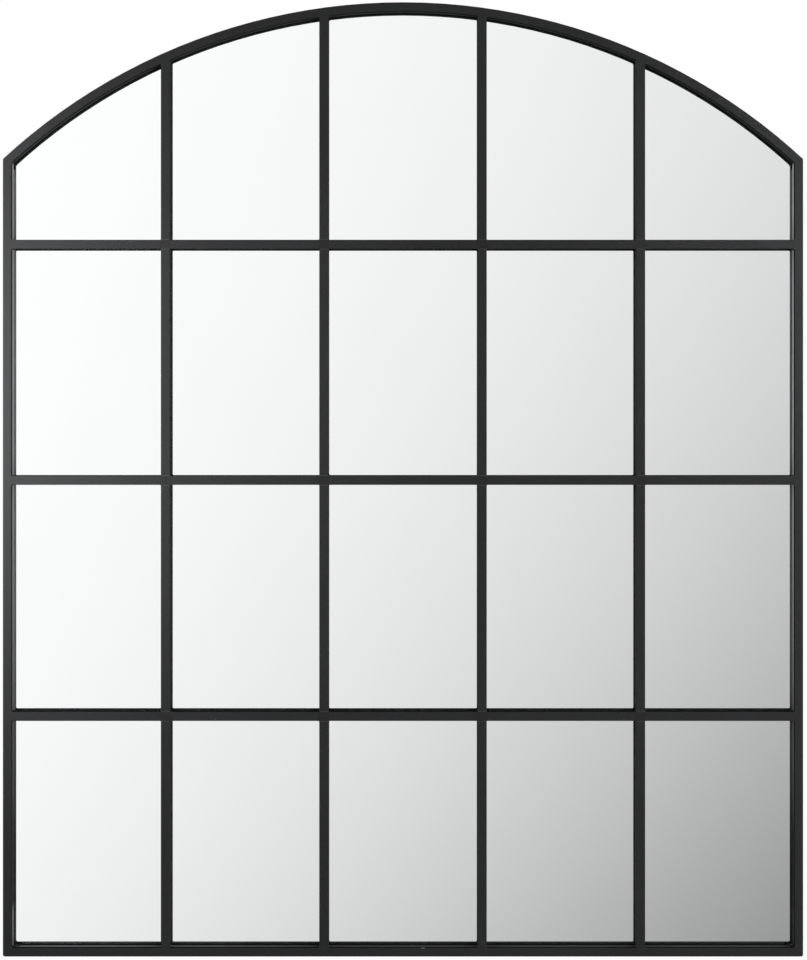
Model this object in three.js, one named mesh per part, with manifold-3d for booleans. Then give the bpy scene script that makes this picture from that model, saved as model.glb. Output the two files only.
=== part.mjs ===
// Arched window mirror: a welded steel window frame with halved glazing bars over one sheet of mirror.
// Millimetres. +Z is up, the mirror faces -Y, and X runs along the bottom rail.
// The origin is the bottom centre of the whole object: the underside of the bottom rail is z = 0.

import * as THREE from 'three';
import { mergeVertices, toCreasedNormals } from 'three/addons/utils/BufferGeometryUtils.js';
import Module from 'manifold-3d';

const wasm = await Module();
wasm.setup();

// ---- driving dimensions ----

const overallWidth = 914;
const overallHeight = 1090;
const springHeight = 911; // from the bottom to the corner where the arch meets a stile
const columns = 5;
const rows = 4;
const topRowExtra = 2.2; // height of the top row, at the crown, over that of the others

const frameFace = 10; // width of the frame tube as seen from the front
const frameDepth = 25;
const frameWall = 1.2;
const frameEdgeRadius = 1; // rolled edges of the tube
const groundCornerRadius = 3; // outer corners dressed after welding
const weldGap = 0.3; // root gap that each weld fills

const barFace = 10.4; // a little over its stock size under the coat
const barDepth = 10;
const barEdgeRadius = 0.5;
const lapClearance = 0.3; // all round a halved crossing

const glassThickness = 4;
const glassSeam = 0.5; // width of the arris ground on the edges of the sheet
const glassClearance = 0.3; // between the bars and the sheet
const sheetClearance = 0.5; // between the inside of the frame and the edges of the glass and board

const tapeStrips = 4;
const tapeWidth = 20;
const tapeThickness = 1;
const tapeMargin = 60; // from the ends of a strip to the edge of the glass

const boardThickness = 5;

const clipSheet = 1.5;
const clipWidth = 20;
const clipReach = 18; // of its foot over the board, from the frame
const clipLeg = 4.5; // height of the welded leg, from the board
const clipBendRadius = 1; // inside the bend
const clipFootRadius = 5; // corners of the foot
const clipsPerStile = 3;
const clipEndDistance = 130; // from the ends of a stile to its nearest clips
const bottomClipSpacing = 460;
const archClipShare = 0.5; // of the way round from the crown to a spring corner

const screwRadius = 1.75;
const screwLength = 6; // under the head
const screwHeadRadius = 3.4;
const screwHeadHeight = 2;
const screwHoleClearance = 0.3;

const hangerWidth = 32;
const hangerHeight = 56;
const hangerSheet = 2;
const hangerCornerRadius = 6;
const hangerDrop = 40; // from the spring of the arch down to the top of the plate
const keyholeEntryRadius = 5.5; // lets in the head of a wall screw
const keyholeSlotRadius = 2.6; // holds its shank
const keyholeTravel = 14; // from the centre of the entry up to the end of the slot

const bumperRadius = 4;
const bumperFlatRadius = 2.6; // of the end that meets the wall
const bumperHeight = 2;
const bumperInset = 40; // from the ends of the rail and from the spring of the arch

// ---- places worked out from them ----

const halfWidth = overallWidth / 2;
const rise = overallHeight - springHeight;
const archRadius = (halfWidth ** 2 + rise ** 2) / (2 * rise); // to the outside of the tube
const archCentreZ = overallHeight - archRadius;

const overallDepth = frameDepth + bumperHeight;
const frontY = -overallDepth / 2; // the front of the frame and of the bars, which are flush
const frameMiddleY = frontY + frameDepth / 2;
const frameBackY = frontY + frameDepth;
const barMiddleY = frontY + barDepth / 2;
const glassFrontY = frontY + barDepth + glassClearance;
const tapeFrontY = glassFrontY + glassThickness;
const boardFrontY = tapeFrontY + tapeThickness;
const boardBackY = boardFrontY + boardThickness;

const frameLineX = halfWidth - frameFace / 2; // middle of a stile
const innerHalfWidth = halfWidth - frameFace;
const columnPitch = (2 * innerHalfWidth + barFace) / columns;
const rowPitch = (overallHeight - 2 * frameFace + barFace - topRowExtra) / rows;
const verticalBarX = evenly(columns - 1, (i) => -innerHalfWidth - barFace / 2 + (i + 1) * columnPitch);
const horizontalBarZ = evenly(rows - 1, (i) => frameFace - barFace / 2 + (i + 1) * rowPitch);

const sheetInset = frameFace + sheetClearance;
const screwHoleRadius = screwRadius + screwHoleClearance;
const clipBendOuter = clipBendRadius + clipSheet;
const clipHoleX = (clipBendOuter + clipReach) / 2; // middle of the flat foot
const hangerX = innerHalfWidth - weldGap - hangerWidth / 2;
const hangerZ = springHeight - hangerDrop - hangerHeight / 2;
const keyholeEntryZ = -keyholeTravel / 2; // from the middle of the plate

const beyondEverything = 2 * Math.max(overallWidth, overallHeight); // size of a cutting block
const arcSteps = 48; // along the arch
const mitreSpring = Math.atan2(springHeight - heightOnArch(frameFace), frameFace);
const mitreFoot = -Math.PI / 4;

function evenly(count, place) {
  return Array.from({ length: count }, (unused, i) => place(i));
}

// Height of the corner between a stile and the arch, for an outline moved in from the frame's outside.
function heightOnArch(inset) {
  return archCentreZ + Math.sqrt((archRadius - inset) ** 2 - (halfWidth - inset) ** 2);
}

// ---- solids ----

function solidOf(geometry) {
  geometry.deleteAttribute('normal');
  geometry.deleteAttribute('uv');
  const merged = mergeVertices(geometry);
  const mesh = new wasm.Mesh({
    numProp: 3,
    vertProperties: merged.attributes.position.array,
    triVerts: new Uint32Array(merged.index.array),
  });
  return new wasm.Manifold(mesh);
}

function geometryOf(solid) {
  const mesh = solid.getMesh();
  const geometry = new THREE.BufferGeometry();
  geometry.setAttribute('position', new THREE.BufferAttribute(mesh.vertProperties, 3));
  geometry.setIndex(new THREE.BufferAttribute(mesh.triVerts, 1));
  return toCreasedNormals(geometry);
}

function cutAway(solid, cutters) {
  return cutters.reduce((rest, cutter) => rest.subtract(cutter), solid);
}

function block(width, depth, height, x, y, z) {
  return solidOf(new THREE.BoxGeometry(width, depth, height).translate(x, y, z));
}

// A round rod along Y, to cut holes and the inside of the arch with.
function rod(radius, x, z, sides) {
  const cylinder = new THREE.CylinderGeometry(radius, radius, beyondEverything, sides);
  return solidOf(cylinder.translate(x, 0, z));
}

// An outline drawn with x across and y up, as a plate that stands in the XZ plane behind frontFace.
function plate(outline, thickness, frontFace, curveSegments = 12) {
  const geometry = new THREE.ExtrudeGeometry(outline, {
    depth: thickness,
    bevelEnabled: false,
    curveSegments,
  });
  return geometry.rotateX(Math.PI / 2).translate(0, frontFace + thickness, 0);
}

function drawRoundedRectangle(path, width, height, radius) {
  const x = width / 2 - radius;
  const y = height / 2 - radius;
  path.absarc(x, y, radius, 0, Math.PI / 2);
  path.absarc(-x, y, radius, Math.PI / 2, Math.PI);
  path.absarc(-x, -y, radius, Math.PI, 1.5 * Math.PI);
  path.absarc(x, -y, radius, 1.5 * Math.PI, 2 * Math.PI);
  path.closePath();
  return path;
}

// Everything on one side of a line in the XZ plane, drawn back by half the gap that a weld fills.
function sideOf(x, z, direction) {
  const geometry = new THREE.BoxGeometry(beyondEverything, beyondEverything, beyondEverything);
  geometry.translate((beyondEverything - weldGap) / 2, 0, 0);
  return solidOf(geometry.rotateY(-direction).translate(x, 0, z));
}

function aboveMitre(x, z, slope) {
  return sideOf(x, z, slope + Math.PI / 2);
}

function belowMitre(x, z, slope) {
  return sideOf(x, z, slope - Math.PI / 2);
}

// What grinding takes off an outer corner: all that lies outside a rounding, between its two ends.
function cornerWaste(x, z, startAngle, endAngle) {
  const far = 3 * groundCornerRadius;
  const middle = (startAngle + endAngle) / 2;
  const farMiddle = far / Math.cos((endAngle - startAngle) / 2);
  const outline = new THREE.Shape();
  outline.moveTo(x + far * Math.cos(startAngle), z + far * Math.sin(startAngle));
  outline.lineTo(x + farMiddle * Math.cos(middle), z + farMiddle * Math.sin(middle));
  outline.lineTo(x + far * Math.cos(endAngle), z + far * Math.sin(endAngle));
  outline.absarc(x, z, groundCornerRadius, endAngle, startAngle, true);
  outline.closePath();
  return solidOf(plate(outline, 2 * frameDepth, -frameDepth, 6));
}

function footCornerWaste(cornerX, side) {
  const x = cornerX - side * groundCornerRadius;
  const angles = side > 0 ? [-Math.PI / 2, 0] : [-Math.PI, -Math.PI / 2];
  return cornerWaste(x, groundCornerRadius, ...angles);
}

function springCornerWaste(cornerX, side) {
  const fromCentre = halfWidth - groundCornerRadius;
  const z = heightOnArch(groundCornerRadius);
  const arcAngle = Math.atan2(z - archCentreZ, fromCentre);
  const angles = side > 0 ? [0, arcAngle] : [Math.PI - arcAngle, Math.PI];
  return cornerWaste(cornerX - side * groundCornerRadius, z, ...angles);
}

// ---- frame: rectangular tube, mitred at the four corners ----

function tubeSection(across, along) {
  const outline = drawRoundedRectangle(new THREE.Shape(), across, along, frameEdgeRadius);
  const innerRadius = Math.max(frameEdgeRadius - frameWall, frameWall / 4);
  const bore = drawRoundedRectangle(
    new THREE.Path(),
    across - 2 * frameWall,
    along - 2 * frameWall,
    innerRadius,
  );
  outline.holes.push(bore);
  return outline;
}

// The right stile, about its own middle line. Turned half way round, it is the left one.
function stileGeometry() {
  const tube = new THREE.ExtrudeGeometry(tubeSection(frameFace, frameDepth), {
    depth: overallHeight,
    bevelEnabled: false,
    curveSegments: 2,
  });
  const outside = frameFace / 2;
  return geometryOf(cutAway(solidOf(tube), [
    aboveMitre(outside, springHeight, mitreSpring),
    belowMitre(outside, 0, mitreFoot),
    footCornerWaste(outside, 1),
    springCornerWaste(outside, 1),
  ]));
}

function bottomRailGeometry() {
  const tube = new THREE.ExtrudeGeometry(tubeSection(frameFace, frameDepth), {
    depth: overallWidth,
    bevelEnabled: false,
    curveSegments: 2,
  });
  tube.translate(0, 0, -halfWidth).rotateY(Math.PI / 2).translate(0, 0, frameFace / 2);
  return geometryOf(cutAway(solidOf(tube), [
    aboveMitre(halfWidth, 0, mitreFoot),
    aboveMitre(-halfWidth, 0, -mitreFoot),
    footCornerWaste(halfWidth, 1),
    footCornerWaste(-halfWidth, -1),
  ]));
}

class ArchLine extends THREE.Curve {
  constructor(radius, halfAngle) {
    super();
    this.radius = radius;
    this.halfAngle = halfAngle;
  }

  getPoint(t, target = new THREE.Vector3()) {
    const angle = (2 * t - 1) * this.halfAngle; // from the crown
    return target.set(this.radius * Math.sin(angle), 0, archCentreZ + this.radius * Math.cos(angle));
  }
}

function archRailGeometry() {
  const overrun = frameDepth / archRadius; // past the mitres, which trim it
  const halfAngle = Math.asin(halfWidth / archRadius) + overrun;
  const tube = new THREE.ExtrudeGeometry(tubeSection(frameDepth, frameFace), {
    extrudePath: new ArchLine(archRadius - frameFace / 2, halfAngle),
    steps: arcSteps,
    curveSegments: 2,
  });
  return geometryOf(cutAway(solidOf(tube), [
    belowMitre(halfWidth, springHeight, mitreSpring),
    belowMitre(-halfWidth, springHeight, -mitreSpring),
    springCornerWaste(halfWidth, 1),
    springCornerWaste(-halfWidth, -1),
  ]));
}

// ---- glazing bars: square bar, halved over each other where they cross ----

function barOf(length) {
  const section = drawRoundedRectangle(new THREE.Shape(), barFace, barDepth, barEdgeRadius);
  return new THREE.ExtrudeGeometry(section, { depth: length, bevelEnabled: false, curveSegments: 2 });
}

const lapSize = barFace + 2 * lapClearance;
const lapDepth = barDepth / 2 + lapClearance / 2; // cut from the front or the back of a bar
const lapFromMiddle = (barDepth - lapDepth) / 2; // middle of that cut, deepened past the bar's face

// The waste outside the arch, which copes the top of a bar at x to the curve of the rail.
function archWaste(x) {
  const above = block(
    beyondEverything, beyondEverything, beyondEverything,
    0, 0, archCentreZ + beyondEverything / 2,
  );
  return above.subtract(rod(archRadius - frameFace - weldGap, -x, archCentreZ, 6 * arcSteps));
}

// A vertical bar gives up its front half at each crossing.
function verticalBarGeometry(x) {
  const foot = frameFace + weldGap;
  const bar = barOf(overallHeight).translate(0, 0, foot);
  const laps = horizontalBarZ.map((z) => block(
    2 * barFace, 2 * lapDepth, lapSize,
    0, -lapFromMiddle - lapDepth / 2, z,
  ));
  return geometryOf(cutAway(solidOf(bar), [archWaste(x), ...laps]));
}

// A horizontal bar gives up its back half, so it reads as unbroken from the front.
function horizontalBarGeometry() {
  const length = 2 * (innerHalfWidth - weldGap);
  const bar = barOf(length).translate(0, 0, -length / 2).rotateY(Math.PI / 2);
  const laps = verticalBarX.map((x) => block(
    lapSize, 2 * lapDepth, 2 * barFace,
    x, lapFromMiddle + lapDepth / 2, 0,
  ));
  return geometryOf(cutAway(solidOf(bar), laps));
}

// ---- mirror, tape and back board ----

function archedOutline(inset) {
  const half = halfWidth - inset;
  const angle = Math.atan2(heightOnArch(inset) - archCentreZ, half);
  const outline = new THREE.Shape();
  outline.moveTo(-half, inset);
  outline.lineTo(half, inset);
  outline.absarc(0, archCentreZ, archRadius - inset, angle, Math.PI - angle);
  outline.closePath();
  return outline;
}

function mirrorGeometry() {
  const geometry = new THREE.ExtrudeGeometry(archedOutline(sheetInset), {
    depth: glassThickness - 2 * glassSeam,
    bevelThickness: glassSeam,
    bevelSize: glassSeam,
    bevelOffset: -glassSeam,
    bevelSegments: 1,
    curveSegments: arcSteps / 2,
  });
  return geometry.rotateX(Math.PI / 2).translate(0, glassFrontY + glassThickness - glassSeam, 0);
}

const tapeX = evenly(tapeStrips, (i) => ((i + 0.5) / tapeStrips - 0.5) * 2 * (halfWidth - sheetInset));

function tapeGeometry(x) {
  const edgeX = Math.abs(x) + tapeWidth / 2;
  const bottom = sheetInset + tapeMargin;
  const top = archCentreZ + Math.sqrt((archRadius - sheetInset) ** 2 - edgeX ** 2) - tapeMargin;
  const strip = new THREE.BoxGeometry(tapeWidth, tapeThickness, top - bottom);
  return strip.translate(0, 0, (top + bottom) / 2);
}

function boardGeometry(clips) {
  const board = solidOf(plate(archedOutline(sheetInset), boardThickness, boardFrontY, arcSteps / 2));
  const holes = clips.map((clip) => rod(screwHoleRadius, clip.screwX, clip.screwZ, 16));
  return geometryOf(cutAway(board, holes));
}

// ---- clips and screws that hold the board ----

// Where a clip stands on the inside of the frame, and which way its foot points from there.
function clipAt(name, wallX, wallZ, direction) {
  const x = wallX + weldGap * Math.cos(direction);
  const z = wallZ + weldGap * Math.sin(direction);
  const screwX = x + clipHoleX * Math.cos(direction);
  const screwZ = z + clipHoleX * Math.sin(direction);
  return { name, x, z, direction, screwX, screwZ };
}

function clipPlaces() {
  const places = [];
  const climb = (springHeight - 2 * clipEndDistance) / (clipsPerStile - 1);
  const wall = archRadius - frameFace;
  const springAngle = Math.asin(innerHalfWidth / wall); // from the crown
  for (let i = 0; i < clipsPerStile; i++) {
    const z = clipEndDistance + i * climb;
    places.push(clipAt(`left_${i + 1}`, -innerHalfWidth, z, 0));
    places.push(clipAt(`right_${i + 1}`, innerHalfWidth, z, Math.PI));
  }
  for (const [side, sign] of [['left', -1], ['right', 1]]) {
    const fromCrown = sign * archClipShare * springAngle;
    const wallX = wall * Math.sin(fromCrown);
    const wallZ = archCentreZ + wall * Math.cos(fromCrown);
    places.push(clipAt(`bottom_${side}`, sign * bottomClipSpacing / 2, frameFace, Math.PI / 2));
    places.push(clipAt(`arch_${side}`, wallX, wallZ, -Math.PI / 2 - fromCrown));
  }
  return places;
}

// An angle bent from strip: x runs from the frame over the board, y from the board to the back.
function clipGeometry() {
  const section = new THREE.Shape();
  section.moveTo(0, clipLeg);
  section.absarc(clipBendOuter, clipBendOuter, clipBendOuter, Math.PI, 1.5 * Math.PI);
  section.lineTo(clipReach, 0);
  section.lineTo(clipReach, clipSheet);
  section.absarc(clipBendOuter, clipBendOuter, clipBendRadius, 1.5 * Math.PI, Math.PI, true);
  section.lineTo(clipSheet, clipLeg);
  section.closePath();
  const strip = new THREE.ExtrudeGeometry(section, { depth: clipWidth, bevelEnabled: false, curveSegments: 3 });
  strip.translate(0, 0, -clipWidth / 2);

  const blankLength = 2 * clipReach; // its other rounded end lies clear of the angle
  const blank = drawRoundedRectangle(new THREE.Shape(), blankLength, clipWidth, clipFootRadius);
  const rounded = plate(blank, 4 * clipLeg, -2 * clipLeg, 3);
  const hole = rod(screwHoleRadius, clipHoleX, 0, 16);
  return geometryOf(solidOf(strip).intersect(solidOf(rounded)).subtract(hole));
}

// A pan-head screw along Y. Its head seats on y = 0 and its shank points to the front.
function screwGeometry() {
  const point = screwRadius;
  const crown = screwHeadHeight / 3;
  const profile = [
    [0, -screwLength],
    [screwRadius / 3, -screwLength],
    [screwRadius, point - screwLength],
    [screwRadius, 0],
    [screwHeadRadius, 0],
    [screwHeadRadius, screwHeadHeight - 2 * crown],
    [screwHeadRadius * 0.85, screwHeadHeight - crown],
    [screwHeadRadius * 0.5, screwHeadHeight],
    [0, screwHeadHeight],
  ];
  return new THREE.LatheGeometry(profile.map(([r, y]) => new THREE.Vector2(r, y)), 16);
}

// ---- hanger plates and bumpers ----

function keyhole() {
  const slotEndZ = keyholeEntryZ + keyholeTravel;
  const opening = Math.acos(keyholeSlotRadius / keyholeEntryRadius); // where the slot leaves the entry
  const path = new THREE.Path();
  path.absarc(0, slotEndZ, keyholeSlotRadius, Math.PI, 0, true);
  path.absarc(0, keyholeEntryZ, keyholeEntryRadius, opening, Math.PI - opening, true);
  path.closePath();
  return path;
}

// The right plate, about its own middle: straight where it is welded, rounded on its free side.
function hangerGeometry() {
  const x = hangerWidth / 2;
  const z = hangerHeight / 2;
  const r = hangerCornerRadius;
  const outline = new THREE.Shape();
  outline.moveTo(x, -z);
  outline.lineTo(x, z);
  outline.absarc(-x + r, z - r, r, Math.PI / 2, Math.PI);
  outline.absarc(-x + r, -z + r, r, Math.PI, 1.5 * Math.PI);
  outline.closePath();
  outline.holes.push(keyhole());
  return plate(outline, hangerSheet, -hangerSheet / 2, 6);
}

// A rubber dome along Y, stuck on at y = 0.
function bumperGeometry() {
  const profile = [
    [0, 0],
    [bumperRadius, 0],
    [bumperRadius, bumperHeight / 3],
    [bumperRadius - (bumperRadius - bumperFlatRadius) / 3, bumperHeight * 0.75],
    [bumperFlatRadius, bumperHeight],
    [0, bumperHeight],
  ];
  return new THREE.LatheGeometry(profile.map(([r, y]) => new THREE.Vector2(r, y)), 20);
}

// ---- materials ----

const blackPaint = new THREE.MeshStandardMaterial({ color: 0x2a2a2c, roughness: 0.45, metalness: 0.1 });
const silveredGlass = new THREE.MeshStandardMaterial({ color: 0xe6ebec, roughness: 0.03, metalness: 1 });
const foamTape = new THREE.MeshStandardMaterial({ color: 0xdcdcd4, roughness: 0.9, metalness: 0 });
const fibreboard = new THREE.MeshStandardMaterial({ color: 0xa07b52, roughness: 0.8, metalness: 0 });
const zincPlate = new THREE.MeshStandardMaterial({ color: 0xb8bbbe, roughness: 0.35, metalness: 1 });
const rubber = new THREE.MeshStandardMaterial({ color: 0x1d1d1e, roughness: 0.75, metalness: 0 });

// ---- assembly ----

function piece(parent, name, geometry, material, x = 0, y = 0, z = 0) {
  const mesh = new THREE.Mesh(geometry, material);
  mesh.name = name;
  mesh.position.set(x, y, z);
  parent.add(mesh);
  return mesh;
}

const mirror = new THREE.Group();

const frame = new THREE.Group();
frame.position.y = frameMiddleY;
const stile = stileGeometry();
piece(frame, 'arch_rail', archRailGeometry(), blackPaint);
piece(frame, 'left_stile', stile, blackPaint, -frameLineX).rotation.z = Math.PI;
piece(frame, 'right_stile', stile, blackPaint, frameLineX);
piece(frame, 'bottom_rail', bottomRailGeometry(), blackPaint);
mirror.add(frame);

const grid = new THREE.Group();
grid.position.y = barMiddleY;
verticalBarX.forEach((x, i) => {
  piece(grid, `vertical_bar_${i + 1}`, verticalBarGeometry(x), blackPaint, x);
});
const horizontalBar = horizontalBarGeometry();
horizontalBarZ.forEach((z, i) => {
  piece(grid, `horizontal_bar_${i + 1}`, horizontalBar, blackPaint, 0, 0, z);
});
mirror.add(grid);

const clips = clipPlaces();
piece(mirror, 'mirror_glass', mirrorGeometry(), silveredGlass);
tapeX.forEach((x, i) => {
  piece(mirror, `mounting_tape_${i + 1}`, tapeGeometry(x), foamTape, x, tapeFrontY + tapeThickness / 2);
});
piece(mirror, 'back_board', boardGeometry(clips), fibreboard);

const clipAngle = clipGeometry();
const panScrew = screwGeometry();
for (const clip of clips) {
  const { name, x, z, direction, screwX, screwZ } = clip;
  piece(mirror, `board_clip_${name}`, clipAngle, blackPaint, x, boardBackY, z).rotation.y = -direction;
  piece(mirror, `clip_screw_${name}`, panScrew, zincPlate, screwX, boardBackY + clipSheet, screwZ);
}

const hanger = hangerGeometry();
const hangerY = frameBackY - hangerSheet / 2;
piece(mirror, 'hanger_plate_left', hanger, blackPaint, -hangerX, hangerY, hangerZ).rotation.z = Math.PI;
piece(mirror, 'hanger_plate_right', hanger, blackPaint, hangerX, hangerY, hangerZ);

const bumper = bumperGeometry();
for (const [side, sign] of [['left', -1], ['right', 1]]) {
  const lowX = sign * (halfWidth - bumperInset);
  const highZ = springHeight - bumperInset;
  piece(mirror, `bumper_bottom_${side}`, bumper, rubber, lowX, frameBackY, frameFace / 2);
  piece(mirror, `bumper_top_${side}`, bumper, rubber, sign * frameLineX, frameBackY, highZ);
}

export default mirror;
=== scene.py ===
import math
import random

import bmesh
import bpy
from mathutils import Matrix, Vector


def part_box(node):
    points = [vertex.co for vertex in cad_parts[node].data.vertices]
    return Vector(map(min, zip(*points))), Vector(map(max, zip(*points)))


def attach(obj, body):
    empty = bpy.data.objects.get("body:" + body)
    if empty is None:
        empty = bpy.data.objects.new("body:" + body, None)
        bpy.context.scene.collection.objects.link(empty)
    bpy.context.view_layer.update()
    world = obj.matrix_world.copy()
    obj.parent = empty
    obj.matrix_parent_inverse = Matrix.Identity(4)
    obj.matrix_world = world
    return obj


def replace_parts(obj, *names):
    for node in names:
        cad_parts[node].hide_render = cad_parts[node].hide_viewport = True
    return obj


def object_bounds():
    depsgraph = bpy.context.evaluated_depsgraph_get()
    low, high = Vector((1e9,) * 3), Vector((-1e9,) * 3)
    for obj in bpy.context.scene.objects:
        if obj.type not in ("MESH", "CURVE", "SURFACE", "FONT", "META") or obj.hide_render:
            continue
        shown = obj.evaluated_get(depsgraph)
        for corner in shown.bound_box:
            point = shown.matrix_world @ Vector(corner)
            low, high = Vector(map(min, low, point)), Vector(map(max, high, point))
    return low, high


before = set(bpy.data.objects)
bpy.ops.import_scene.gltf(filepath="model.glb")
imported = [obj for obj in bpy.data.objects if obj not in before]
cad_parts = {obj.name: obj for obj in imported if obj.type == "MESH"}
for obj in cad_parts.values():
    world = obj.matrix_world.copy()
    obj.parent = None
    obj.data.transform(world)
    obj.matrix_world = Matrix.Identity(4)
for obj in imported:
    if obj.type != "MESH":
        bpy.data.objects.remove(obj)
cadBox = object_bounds()
print("frame loaded:", len(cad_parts), "pieces")

mm = 0.001

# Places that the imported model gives.
verticalBars = [f"vertical_bar_{i}" for i in range(1, 5)]
horizontalBars = [f"horizontal_bar_{i}" for i in range(1, 4)]


def middleOf(node, axis):
    low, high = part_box(node)
    return (low[axis] + high[axis]) / 2


barX = [middleOf(bar, 0) for bar in verticalBars]
barZ = [middleOf(bar, 2) for bar in horizontalBars]
barLow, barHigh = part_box("vertical_bar_1")
barFace = barHigh.x - barLow.x
barBackY = barHigh.y
glassLow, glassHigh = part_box("mirror_glass")
railLow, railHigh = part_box("bottom_rail")
frameFace = railHigh.z - railLow.z
frontY = railLow.y
backY = railHigh.y
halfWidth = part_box("right_stile")[1].x
innerHalf = halfWidth - frameFace
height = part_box("arch_rail")[1].z
clipNames = [n[len("board_clip_"):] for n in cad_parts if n.startswith("board_clip_")]

springHeight = 0.911  # where the arch meets a stile, outside
rise = height - springHeight
archRadius = (halfWidth**2 + rise**2) / (2 * rise)
archCentreZ = height - archRadius


def onArch(inset, x):
    # Height, at x, of the arch moved in from its outside.
    return archCentreZ + math.sqrt((archRadius - inset) ** 2 - x**2)


camera = {
    "distance": 2.0,  # from the front of the frame
    "eyeHeight": 0.625,
    "mmPerPixel": 1.1416,  # at the front of the frame
    "framePixels": (807, 960),
    "sensor": 36,
    "leftMargin": 403.0,  # pixels from the picture's left edge to the middle of the mirror
    "topToFoot": 956.8,  # pixels from the picture's top to the foot of the mirror
}


def makeCamera():
    wide, high = camera["framePixels"]
    pixel = camera["mmPerPixel"] * mm
    data = bpy.data.cameras.new("camera")
    data.sensor_width = camera["sensor"]
    data.lens = data.sensor_width * camera["distance"] / (high * pixel)
    seen = (camera["topToFoot"] - high / 2) * pixel  # height at the middle of the picture
    data.shift_y = (seen - camera["eyeHeight"]) / (high * pixel)
    data.clip_start = 0.05
    data.clip_end = 200
    looker = bpy.data.objects.new("camera", data)
    looker.location = (
        (wide / 2 - camera["leftMargin"]) * pixel,
        frontY - camera["distance"],
        camera["eyeHeight"],
    )
    looker.rotation_euler = (math.pi / 2, 0, 0)
    bpy.context.scene.collection.objects.link(looker)
    bpy.context.scene.camera = looker


makeCamera()
print("camera placed")


def socketKey(name):
    # Words name a socket by its label, with _ for a space; i0, i1 and so on name it by its number.
    return int(name[1:]) if name[0] == "i" and name[1:].isdigit() else name.replace("_", " ")


class Value:
    # A socket, or a number, that can be used in sums.
    def __init__(self, shader, socket):
        self.shader = shader
        self.socket = socket

    def sum(self, operation, *others):
        return self.shader.maths(operation, self, *others)

    def __add__(self, other):
        return self.sum("ADD", other)

    def __sub__(self, other):
        return self.sum("SUBTRACT", other)

    def __mul__(self, other):
        return self.sum("MULTIPLY", other)

    def __truediv__(self, other):
        return self.sum("DIVIDE", other)

    def __pow__(self, other):
        return self.sum("POWER", other)

    def __radd__(self, other):
        return self.shader.maths("ADD", other, self)

    def __rsub__(self, other):
        return self.shader.maths("SUBTRACT", other, self)

    def __rmul__(self, other):
        return self.shader.maths("MULTIPLY", other, self)

    def __rtruediv__(self, other):
        return self.shader.maths("DIVIDE", other, self)

    def __rpow__(self, other):
        return self.shader.maths("POWER", other, self)

    def least(self, other):
        return self.sum("MINIMUM", other)

    def most(self, other):
        return self.sum("MAXIMUM", other)

    def size(self):
        return self.sum("ABSOLUTE")


class Shader:
    # A material's or the world's node tree. Every node comes from node().
    def __init__(self, owner):
        owner.use_nodes = True
        self.tree = owner.node_tree
        self.tree.nodes.clear()

    def node(self, kind, settings=None, **values):
        made = self.tree.nodes.new(kind)
        for name, setting in (settings or {}).items():
            setattr(made, name, setting)
        for name, value in values.items():
            self.put(made.inputs[socketKey(name)], value)
        return made

    def put(self, socket, value):
        if isinstance(value, Value):
            self.tree.links.new(value.socket, socket)
        elif isinstance(value, bpy.types.NodeSocket):
            self.tree.links.new(value, socket)
        else:
            socket.default_value = value

    def value(self, node, output=0):
        return Value(self, node.outputs[output])

    def maths(self, operation, *terms):
        made = self.node("ShaderNodeMath", {"operation": operation})
        for socket, term in zip(made.inputs, terms):
            self.put(socket, term)
        return self.value(made)

    def place(self):
        return self.value(self.node("ShaderNodeTexCoord"), "Object")

    def axes(self, vector):
        split = self.node("ShaderNodeSeparateXYZ", i0=vector)
        return [self.value(split, i) for i in range(3)]

    def stretched(self, vector, scale):
        return self.value(self.node("ShaderNodeMapping", Vector=vector, Scale=scale))

    def noise(self, vector, scale, detail=3.0, roughness=0.5):
        made = self.node(
            "ShaderNodeTexNoise",
            {"noise_dimensions": "3D"},
            Vector=vector,
            Scale=scale,
            Detail=detail,
            Roughness=roughness,
        )
        return self.value(made)

    def cells(self, vector, scale):
        made = self.node("ShaderNodeTexVoronoi", {"feature": "F1"}, Vector=vector, Scale=scale)
        return self.value(made, "Distance")

    def ranged(self, value, low, high, toLow=0.0, toHigh=1.0, smooth=False):
        kind = "SMOOTHSTEP" if smooth else "LINEAR"
        made = self.node(
            "ShaderNodeMapRange",
            {"interpolation_type": kind, "clamp": True},
            i0=value,
            i1=low,
            i2=high,
            i3=toLow,
            i4=toHigh,
        )
        return self.value(made)

    def falling(self, value, low, high):
        # 1 below low, 0 above high.
        return self.ranged(value, low, high, 1.0, 0.0)

    def vector(self, operation, first, *others, output=0):
        made = self.node("ShaderNodeVectorMath", {"operation": operation}, i0=first)
        for socket, other in zip(list(made.inputs)[1:], others):
            self.put(socket, other)
        return self.value(made, output)

    def normal(self):
        return self.value(self.node("ShaderNodeNewGeometry"), "Normal")

    def mixed(self, factor, first, second):
        made = self.node("ShaderNodeMix", {"data_type": "RGBA"})
        self.put(made.inputs[0], factor)
        self.put(made.inputs[6], first)
        self.put(made.inputs[7], second)
        return self.value(made, 2)

    def bumped(self, height, strength, distance):
        made = self.node("ShaderNodeBump", Strength=strength, Distance=distance, Height=height)
        return self.value(made)

    def mixedShader(self, factor, first, second):
        made = self.node("ShaderNodeMixShader", i0=factor, i1=first, i2=second)
        return made.outputs[0]

    def principled(self, **values):
        return self.node("ShaderNodeBsdfPrincipled", **values).outputs[0]

    def surface(self, **values):
        self.finish(self.principled(**values))

    def finish(self, socket, kind="ShaderNodeOutputMaterial"):
        self.node(kind, i0=socket)


def material(name):
    made = bpy.data.materials.new(name)
    return made, Shader(made)


def grey(level):
    return (level, level, level, 1)


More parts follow.
